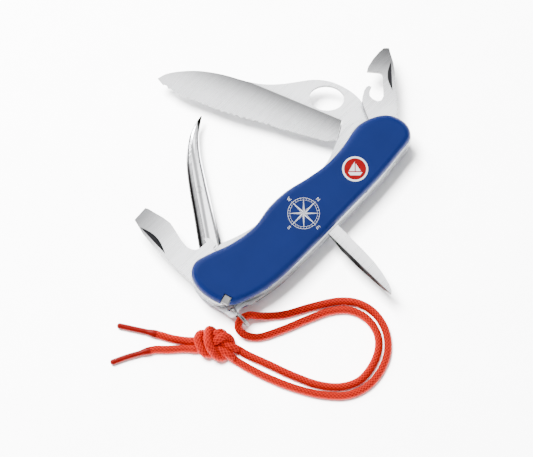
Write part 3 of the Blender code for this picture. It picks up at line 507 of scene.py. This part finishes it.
def paint_wall_shade(tree, shader, colour, side):
    """Painted shade on upright walls: they keep only a share of the colour, so they look darker than the flat
    faces.
    """
    place = tree.nodes.new("ShaderNodeTexCoord")
    parts = tree.nodes.new("ShaderNodeSeparateXYZ")
    size = node(tree, "ShaderNodeMath", operation="ABSOLUTE")
    made = node(tree, "ShaderNodeMix", data_type="RGBA", blend_type="MULTIPLY")
    made.inputs[MIX_SHARE].default_value = 1.0
    tree.links.new(place.outputs["Normal"], parts.inputs["Vector"])
    tree.links.new(parts.outputs["Z"], size.inputs[0])
    tree.links.new(colour, made.inputs[MIX_A])
    tree.links.new(remap(tree, size.outputs[0], WALL_UPRIGHT, WALL_FLAT, side, 1.0), made.inputs[MIX_B])
    tree.links.new(made.outputs[MIX_RESULT], shader.inputs["Base Color"])


def steel_material(name, dark, light, roughness, grain_turn, grain, side):
    """Ground steel with soft patches and a fine grain along one direction of the knife's frame."""
    material, tree, shader = new_material(name)
    shader.inputs["Metallic"].default_value = 1.0
    patches = remap(tree, noise(tree, 45, 2.0), 0.35, 0.65, 0, 1)
    paint_wall_shade(tree, shader, mix_colours(tree, patches, dark, light), side)
    lines = grain_lines(tree, grain_turn)
    rough(tree, shader, lines, roughness, 0.06)
    bump(tree, shader, lines, grain, GRAIN_DEPTH_MM)
    return material


def share_between(tree, start, end):
    """0 at the start point and 1 at the end point, both in the knife's frame at rest."""
    start, end = Vector((*start, 0)), Vector((*end, 0))
    way = (end - start) / (end - start).length_squared / MM
    place = tree.nodes.new("ShaderNodeTexCoord")
    offset = node(tree, "ShaderNodeVectorMath", operation="SUBTRACT")
    offset.inputs[1].default_value = start * MM
    share = node(tree, "ShaderNodeVectorMath", operation="DOT_PRODUCT")
    share.inputs[1].default_value = way
    tree.links.new(place.outputs["Object"], offset.inputs[0])
    tree.links.new(offset.outputs[0], share.inputs[0])
    return share.outputs["Value"]


def graded_steel(name, tool, start, end, stops, roughness, side, plunge):
    """Ground steel of one tool, whose grey changes from one point of the tool to another.

    The greys stand for what the bright faces mirror.  They are painted on, and they turn with the tool.
    With a plunge, a point before the line and one after it, the grey before it stays the first one.
    """
    material, tree, shader = new_material(name)
    shader.inputs["Metallic"].default_value = 1.0
    ramp = tree.nodes.new("ShaderNodeValToRGB")
    while len(ramp.color_ramp.elements) < len(stops):
        ramp.color_ramp.elements.new(0.5)
    for element, (position, grey) in zip(ramp.color_ramp.elements, stops):
        element.position = position
        element.color = (*(grey * share for share in STEEL_TINGE), 1)
    way = share_between(tree, on_tool(tool, *start), on_tool(tool, *end))
    tree.links.new(way, ramp.inputs["Fac"])
    colour = ramp.outputs["Color"]
    if plunge:
        made = node(tree, "ShaderNodeMix", data_type="RGBA")
        made.inputs[MIX_A].default_value = ramp.color_ramp.elements[0].color
        past = share_between(tree, *(on_tool(tool, *point) for point in plunge))
        tree.links.new(remap(tree, past, 0.0, 1.0, 0.0, 1.0), made.inputs[MIX_SHARE])
        tree.links.new(colour, made.inputs[MIX_B])
        colour = made.outputs[MIX_RESULT]
    paint_wall_shade(tree, shader, colour, side)
    lines = grain_lines(tree, tool[1])
    rough(tree, shader, lines, roughness, 0.05)
    bump(tree, shader, lines, 0.04, GRAIN_DEPTH_MM)
    return material


def nylon_material():
    """Moulded nylon with a fine, even surface."""
    material, tree, shader = new_material("blue_nylon_look")
    tint(tree, shader, noise(tree, 60, 3.0), 0.3, 0.7, *NYLON_BLUES)
    grain = noise(tree, 2600, 2.0)
    rough(tree, shader, grain, 0.46, 0.06)
    shader.inputs["Specular IOR Level"].default_value = 0.10
    bump(tree, shader, grain, 0.12, 0.03)
    return material


def cord_material():
    """Polyester braid with fine fibres, painted darker between the yarns' crowns as shade in the braid's
    gaps.
    """
    material, tree, shader = new_material("orange_cord_look")
    crown = node(tree, "ShaderNodeAttribute", attribute_name="crown")
    fibre = noise(tree, 5200, 3.0)
    tint(tree, shader, crown.outputs["Fac"], 0.42, 0.82, *CORD_GAP_SHADE_ORANGES)
    rough(tree, shader, fibre, 0.675, 0.125)
    shader.inputs["Specular IOR Level"].default_value = 0.08
    bump(tree, shader, fibre, 0.25, 0.05)
    return material


def sleeve_material():
    """Shrink sleeve: smooth, with long soft ripples."""
    material, tree, shader = new_material("red_sleeve_look")
    ripple = noise(tree, 420, 2.0)
    tint(tree, shader, ripple, 0.3, 0.7, *SLEEVE_REDS)
    rough(tree, shader, ripple, 0.34, 0.06)
    shader.inputs["Specular IOR Level"].default_value = 0.10
    bump(tree, shader, ripple, 0.1, 0.1)
    return material


def plastic_material(name, dark, light, roughness, shine):
    material, tree, shader = new_material(name)
    shader.inputs["Specular IOR Level"].default_value = shine
    tint(tree, shader, noise(tree, 300, 3.0), 0.3, 0.7, dark, light)
    grain = noise(tree, 2400, 2.0)
    rough(tree, shader, grain, roughness, 0.05)
    bump(tree, shader, grain, 0.1, 0.03)
    return material


def make_materials():
    looks = {look: graded_steel(*values) for look, values in TOOL_STEELS.items()}
    looks.update({look: steel_material(*values) for look, values in STEELS.items()})
    looks["nylon"] = nylon_material()
    looks.update({look: plastic_material(*values) for look, values in PLASTICS.items()})
    looks["cord"] = cord_material()
    looks["sleeve"] = sleeve_material()
    return looks


def dress_cad_nodes(looks):
    """Give each CAD node that stays in sight its finished material."""
    wears = {
        "nylon": ("front_scale", "rear_scale"),
        "liner": ("front_liner", "opener_lock_liner", "blade_lock_liner", "rear_liner"),
        "spring": ("opener_spring", "blade_spring", "spike_spring", "end_spacer", "long_spring_pin",
                   "short_spring_pin", "reamer_pin"),
        "blade": ("main_blade",),
        "can": ("can_opener",),
        "bottle": ("bottle_opener",),
        "reamer": ("reamer",),
        "spike": ("marlinspike",),
        "satin": ("tweezers",),
        "brass": ("blade_end_rivet", "opener_end_rivet"),
        "grey": ("tweezers_grip",),
        "ivory": ("toothpick",),
    }
    for look, names in wears.items():
        for name in names:
            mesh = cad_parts[name].data
            mesh.materials.clear()
            mesh.materials.append(looks[look])


def break_edges():
    for name, width in EDGE_BREAKS.items():
        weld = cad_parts[name].modifiers.new("weld", "WELD")
        weld.merge_threshold = WELD_DISTANCE * MM
        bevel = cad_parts[name].modifiers.new("edge_break", "BEVEL")
        bevel.width = width * MM
        bevel.segments = 1
        bevel.limit_method = "ANGLE"
        bevel.angle_limit = SHARP_EDGE


# ---------------------------------------------------------------- lanyard
def eased(share):
    """From 0 to 1 with a soft start and end, and flat outside that range."""
    share = min(max(share, 0.0), 1.0)
    return share * share * (3 - 2 * share)


def braid_height(turn, distance):
    """How high the braid's surface is, 0 to 1: two sets of yarns cross, each over and under the other."""
    best = 0.0
    for way in (1, -1):
        phase = BRAID_YARNS * (turn / (2 * math.pi) + way * distance / BRAID_PITCH)
        other = BRAID_YARNS * (turn / (2 * math.pi) - way * distance / BRAID_PITCH)
        crown = math.cos(math.pi * (phase - round(phase)))
        over = 0.5 + 0.5 * way * math.cos(math.pi * (round(phase) + other))
        best = max(best, crown * (BRAID_UNDER_SHARE + (1 - BRAID_UNDER_SHARE) * over))
    return best


def cord_line(side, through):
    """The whole cord from the ring to its sleeve, and where along it the knot starts and ends."""
    route = smooth_open(STRAND_B[::-1] + [CORD_AT_RING] + STRAND_A, ROUTE_STEPS)
    middle = len(STRAND_B) * ROUTE_STEPS
    strand = route[middle:] if side == 0 else route[middle::-1]
    tail = smooth_open((TAIL_UPPER, TAIL_LOWER)[side], ROUTE_STEPS)
    points = [tuple(p) for p in strand[:-1]] + [tuple(p) for p in through] + [tuple(p) for p in tail[1:]]
    even = spaced(points, int(length_of(points) / BRAID_STEP) + 1)
    for _ in range(LINE_SMOOTHING):
        even[1:-1] = (even[:-2] + even[1:-1] * 2 + even[2:]) / 4
    before = length_of(strand)
    return even, (before, before + length_of(through))


def make_cord(side, name, through, looks):
    """One braided cord, whose surface also keeps how high each of its points stands."""
    line, (knot_start_at, knot_end_at) = cord_line(side, through)
    turning = 1 if side == 0 else -1
    heights = []

    def section(i):
        ring = []
        distance = i * BRAID_STEP
        depth = min(distance - knot_start_at, knot_end_at - distance)
        inside = min(max(depth / KNOT_FATTER_OVER + 0.5, 0.0), 1.0)
        core = CORD_D / 2 * (1 + (KNOT_FATTER - 1) * inside) - BRAID_RELIEF * BRAID_SUNK_SHARE
        for k in range(BRAID_SIDES):
            angle = 2 * math.pi * k / BRAID_SIDES
            height = braid_height(angle, distance * turning)
            ring.append((core + BRAID_RELIEF * height, angle))
            heights.append(height)
        return ring

    vertices, faces = sweep(line, section)
    cord = add_mesh(name, vertices, faces)
    crown = cord.data.attributes.new("crown", "FLOAT", "POINT")
    crown.data.foreach_set("value", heights)
    cord.data.materials.append(looks["cord"])
    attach(cord, "lanyard")
    return cord, line


def make_sleeve(points, tail, name, node_name, looks):
    """A tube shrunk on the cord's end: it follows the cord, thins to its own size and ends in a blunt tip."""
    back = (Vector(tail[-2]) - Vector(tail[-1])).normalized() * SLEEVE_OVERLAP
    line = spaced(smooth_open([Vector(tail[-1]) + back] + list(points), SLEEVE_STEPS), SLEEVE_POINTS)

    def section(i):
        share = i / (SLEEVE_POINTS - 1)
        over_cord = eased((SLEEVE_THIN_END - share) / SLEEVE_THIN_OVER)
        radius = SLEEVE_END_D / 2 + (CORD_D / 2 + SLEEVE_WALL - SLEEVE_END_D / 2) * over_cord
        left = (SLEEVE_POINTS - 1 - i) / SLEEVE_TIP_POINTS
        if left < 1:
            radius *= math.sqrt(max(1 - (1 - left) ** 2, SLEEVE_TIP_LEAST))
        return [(radius, 2 * math.pi * k / SLEEVE_SIDES) for k in range(SLEEVE_SIDES)]

    vertices, faces = sweep(line, section)
    sleeve = add_mesh(name, vertices, faces, sharp_degrees=70)
    sleeve.data.materials.append(looks["sleeve"])
    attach(sleeve, "lanyard")
    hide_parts(node_name)
    return sleeve


def make_split_ring(looks):
    """The split ring as two turns of wire side by side, standing across the knife in the lug's hole."""
    low, high = (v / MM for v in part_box("split_ring"))
    centre = (low + high) / 2
    radius = (high.y - low.y) / 2 - RING_WIDTH / 2
    line = []
    for i in range(RING_STEPS + 1):
        share = i / RING_STEPS
        angle = RING_START + share * RING_TURNS * 2 * math.pi
        shift = (eased((share - RING_STEP_FROM) / RING_STEP_OVER) - 0.5) * RING_WIRE_D
        around = Vector((shift, radius * math.cos(angle), radius * math.sin(angle)))
        line.append(tuple(centre + around))

    def section(i):
        end = min(i, RING_STEPS - i) / RING_END_POINTS
        scale = min(RING_END_SHARE + (1 - RING_END_SHARE) * end, 1.0)
        return [(RING_WIRE_D / 2 * scale, 2 * math.pi * k / RING_SIDES) for k in range(RING_SIDES)]

    vertices, faces = sweep(np.array(line), section)
    ring = add_mesh("split_ring_coil", vertices, faces, sharp_degrees=60)
    ring.data.materials.append(looks["ring"])
    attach(ring, "lanyard")
    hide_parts("split_ring")


def make_lanyard(looks, knot_lines):
    make_split_ring(looks)
    pieces = (
        (0, "lanyard_cord_a", ("cord_strand_a", "cord_tail_a", "cord_knot"), SLEEVE_UPPER, "sleeve_a"),
        (1, "lanyard_cord_b", ("cord_strand_b", "cord_tail_b"), SLEEVE_LOWER, "sleeve_b"),
    )
    for side, name, nodes, sleeve_route, sleeve_node in pieces:
        cord, line = make_cord(side, name, knot_lines[side], looks)
        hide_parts(*nodes)
        tail = (TAIL_UPPER, TAIL_LOWER)[side]
        sleeve = make_sleeve(sleeve_route, tail, name.replace("cord", "sleeve"), sleeve_node, looks)
        path = [tuple(c * MM for c in p) for p in line]
        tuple(path[0])
        round(length_of(line) * MM, 3)


# ---------------------------------------------------------------- prints and nicks
def on_tool(tool, x, y):
    """A point of a tool's own frame, in the knife's frame at rest."""
    (px, py), turn = tool
    c, s = math.cos(math.radians(turn)), math.sin(math.radians(turn))
    return px + x * c - y * s, py + x * s + y * c


def prism(vertices, faces, loop, low, high):
    """Add a flat closed prism over a loop without holes, whichever way the loop runs."""
    if sum(a[0] * b[1] - b[0] * a[1] for a, b in zip(loop, loop[1:] + loop[:1])) < 0:
        loop = loop[::-1]
    first, count = len(vertices), len(loop)
    vertices += [(x, y, low) for x, y in loop] + [(x, y, high) for x, y in loop]
    faces.append([first + k for k in reversed(range(count))])
    faces.append([first + count + k for k in range(count)])
    for k in range(count):
        after = (k + 1) % count
        faces.append([first + k, first + after, first + count + after, first + count + k])


def band(vertices, faces, centre, outer, inner, low, high):
    """Add a flat closed ring."""
    first = len(vertices)
    for k in range(BAND_SIDES):
        turn = 2 * math.pi * k / BAND_SIDES
        c, s = math.cos(turn), math.sin(turn)
        vertices += [(centre[0] + r * c, centre[1] + r * s, z)
                     for r, z in ((outer, low), (outer, high), (inner, high), (inner, low))]
    for k in range(BAND_SIDES):
        here, there = first + 4 * k, first + 4 * ((k + 1) % BAND_SIDES)
        for j in range(4):
            faces.append([here + j, there + j, there + (j + 1) % 4, here + (j + 1) % 4])


def stroke_loops(points, width):
    """Short rectangles along a stroke, lengthened a little so that they meet at its corners."""
    loops = []
    for a, b in zip(points, points[1:]):
        a, b = Vector(a), Vector(b)
        way = (b - a).normalized() * (width / 2)
        side = Vector((-way.y, way.x))
        a, b = a - way * STROKE_OVERRUN, b + way * STROKE_OVERRUN
        loops.append([tuple(a - side), tuple(b - side), tuple(b + side), tuple(a + side)])
    return loops


def printed(name, look, vertices, faces):
    piece = add_mesh(name, vertices, faces, smooth=False)
    piece.data.materials.append(look)
    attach(piece, "handle")


def make_rose(looks):
    """The compass rose: two rings with ticks between, eight half-filled points, and its four letters."""
    vertices, faces = [], []
    low, high = FACE_Z, FACE_Z + PRINT_THICK
    for radius, half in ((ROSE_R, ROSE_RING_HALF), (ROSE_INNER_R, ROSE_INNER_RING_HALF)):
        band(vertices, faces, ROSE_AT, radius + half, radius - half, low, high)

    def at(radius, degrees):
        turn = math.radians(degrees)
        return ROSE_AT[0] + radius * math.cos(turn), ROSE_AT[1] + radius * math.sin(turn)

    for tick in range(ROSE_TICKS):
        turn = tick * 360 / ROSE_TICKS
        for loop in stroke_loops([at(ROSE_INNER_R, turn), at(ROSE_R, turn)], TICK_WIDTH):
            prism(vertices, faces, loop, low, high)
    for point in range(ROSE_POINTS):
        turn = point * 360 / ROSE_POINTS
        reach, waist = MAIN_POINT if point % 2 == 0 else OTHER_POINT
        prism(vertices, faces, [at(0.0, 0.0), at(waist, turn - WAIST_TURN), at(reach, turn)], low, high)
        for loop in stroke_loops([at(waist, turn + WAIST_TURN), at(reach, turn)], ROSE_POINT_LINE):
            prism(vertices, faces, loop, low, high)
    for letter, turn in (("N", 0.0), ("W", 90.0), ("S", 180.0), ("E", 270.0)):
        cx, cy = at(ROSE_LETTER_R, turn)
        for stroke in LETTERS[letter]:
            placed = [(cx + y, cy - x) for x, y in stroke]
            for loop in stroke_loops(placed, STROKE):
                prism(vertices, faces, loop, low, high)
    printed("compass_rose", looks["white"], vertices, faces)


def make_badge(looks):
    """A plain round badge on the scale: white rim, red field and a small white sailing boat."""
    white, red, boat = ([], []), ([], []), ([], [])
    band(*white, BADGE_AT, BADGE_R, BADGE_R - BADGE_RIM_WIDTH, FACE_Z, FACE_Z + PRINT_THICK * 2)
    field = []
    for k in range(BADGE_FIELD_SIDES):
        turn = 2 * math.pi * k / BADGE_FIELD_SIDES
        across, up = BADGE_FIELD_R * math.cos(turn), BADGE_FIELD_R * math.sin(turn)
        field.append((BADGE_AT[0] + across, BADGE_AT[1] + up))
    prism(*red, field, FACE_Z, FACE_Z + PRINT_THICK)
    for shape in BOAT:
        placed = [(BADGE_AT[0] + (x + y) * DIAGONAL, BADGE_AT[1] + (y - x) * DIAGONAL) for x, y in shape]
        prism(*boat, placed, FACE_Z, FACE_Z + PRINT_THICK * 2)
    printed("badge_rim", looks["white"], *white)
    printed("badge_field", looks["red"], *red)
    printed("badge_boat", looks["white"], *boat)


def make_nicks(looks):
    """The shadowed steel inside each nail nick, as a thin dark inlay on its floor."""
    for name, tool, (start, end, bulge), body in (
            ("can_opener_nick", CAN, CAN_NICK, "can_opener"),
            ("bottle_opener_nick", BOTTLE, BOTTLE_NICK, "bottle_opener")):
        a, b = Vector(start), Vector(end)
        side = Vector((-(b - a).y, (b - a).x)).normalized() * (NICK_BULGE_SHARE * bulge)
        shares = [k / NICK_STEPS for k in range(1, NICK_STEPS)]
        edge = [a.lerp(b, share) + side * math.sin(math.pi * share) for share in shares]
        crescent = [a.lerp(b, NICK_END_SHARE)] + edge + [a.lerp(b, 1 - NICK_END_SHARE)]
        loop = [on_tool(tool, *p) for p in crescent]
        vertices, faces = [], []
        prism(vertices, faces, loop, NICK_FLOOR_Z, NICK_FLOOR_Z + NICK_INLAY_THICK)
        piece = add_mesh(name, vertices, faces, smooth=False)
        piece.data.materials.append(looks["shade"])
        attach(piece, body)


def make_dimple(looks):
    """A fine raised rim that marks the marlinspike's round dimple; the dimple itself isn't sunk."""
    cx, cy = on_tool(SPIKE, *SPIKE_DIMPLE)
    rim = []
    for k in range(DIMPLE_STEPS + 1):
        turn = 2 * math.pi * k / DIMPLE_STEPS
        rim.append((cx + DIMPLE_R * math.cos(turn), cy + DIMPLE_R * math.sin(turn), DIMPLE_RIM_Z))
    wire = [(DIMPLE_RIM_R, 2 * math.pi * k / DIMPLE_RIM_SIDES) for k in range(DIMPLE_RIM_SIDES)]
    vertices, faces = sweep(np.array(rim), lambda i: wire)
    piece = add_mesh("marlinspike_dimple_rim", vertices, faces)
    piece.data.materials.append(looks["ring"])
    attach(piece, "marlinspike")


# ---------------------------------------------------------------- light and table
# Places and sizes here are in metres: a light's place is to the picture's right of the target, up the
# table, and above it.  The wash lights the table only, and makes its white even.
TABLE_SIZE = 2.4
TABLE_Z = -0.0002
TABLE_GREYS = ((0.90, 0.90, 0.90), (0.93, 0.93, 0.93))
WORLD_STRENGTH = 0.9
# The sky's grey at the horizon and overhead, and the heights of the view between which it changes.
SKY_GREYS = (0.05, 1.0)
SKY_HEIGHTS = (0.05, 0.75)
# Each light: place, size and power in watts.
KEY = ((-0.62, 0.62, 0.80), (0.40, 0.40), 24.0)
OVERHEAD = ((0.06, 0.24, 1.0), (0.60, 0.50), 3.8)
TABLE_WASH = ((-0.26, 0.26, 1.0), (0.35, 0.35), 125.0)


def make_table():
    """The plain pale table, and a collection with only the table in it for the wash light."""
    mesh = bpy.data.meshes.new("table")
    half = TABLE_SIZE / 2
    corners = [(-half, -half), (half, -half), (half, half), (-half, half)]
    mesh.from_pydata([(x, y, TABLE_Z) for x, y in corners], [], [(0, 1, 2, 3)])
    table = bpy.data.objects.new("table", mesh)
    bpy.context.scene.collection.objects.link(table)
    material, tree, shader = new_material("table_look")
    tint(tree, shader, noise(tree, 40, 3.0), 0.3, 0.7, *TABLE_GREYS)
    shader.inputs["Roughness"].default_value = 0.9
    shader.inputs["Specular IOR Level"].default_value = 0.1
    mesh.materials.append(material)
    table_only = bpy.data.collections.new("table_only")
    table_only.objects.link(table)
    return table_only


def area_light(name, place, size, power):
    """A rectangular light that faces the target."""
    data = bpy.data.lights.new(name, "AREA")
    data.shape = "RECTANGLE"
    data.size, data.size_y = size
    data.energy = power
    light = bpy.data.objects.new(name, data)
    light.location = in_picture(*place)
    light.rotation_euler = (TARGET - light.location).to_track_quat("-Z", "Y").to_euler()
    bpy.context.scene.collection.objects.link(light)
    return light


def in_picture(right, up, height):
    """A place from the target: to the picture's right, up the table, and above it."""
    return TARGET + PICTURE_RIGHT * right + TABLE_UP * up + Vector((0, 0, height))


def make_lights(table_only):
    world = bpy.data.worlds.new("studio")
    bpy.context.scene.world = world
    world.use_nodes = True
    back = world.node_tree.nodes["Background"]
    tree = world.node_tree
    sky = tree.nodes.new("ShaderNodeTexCoord")
    parts = tree.nodes.new("ShaderNodeSeparateXYZ")
    tree.links.new(sky.outputs["Generated"], parts.inputs["Vector"])
    grey = remap(tree, parts.outputs["Z"], *SKY_HEIGHTS, *SKY_GREYS)
    tree.links.new(grey, back.inputs["Color"])
    back.inputs["Strength"].default_value = WORLD_STRENGTH
    area_light("key", *KEY)
    area_light("overhead", *OVERHEAD)
    wash = area_light("table_wash", *TABLE_WASH)
    wash.light_linking.receiver_collection = table_only


# ---------------------------------------------------------------- build
make_camera()
looks = make_materials()
make_lanyard(looks, draw_tight(knot_start()))
dress_cad_nodes(looks)
break_edges()
make_rose(looks)
make_badge(looks)
make_nicks(looks)
make_dimple(looks)
make_lights(make_table())
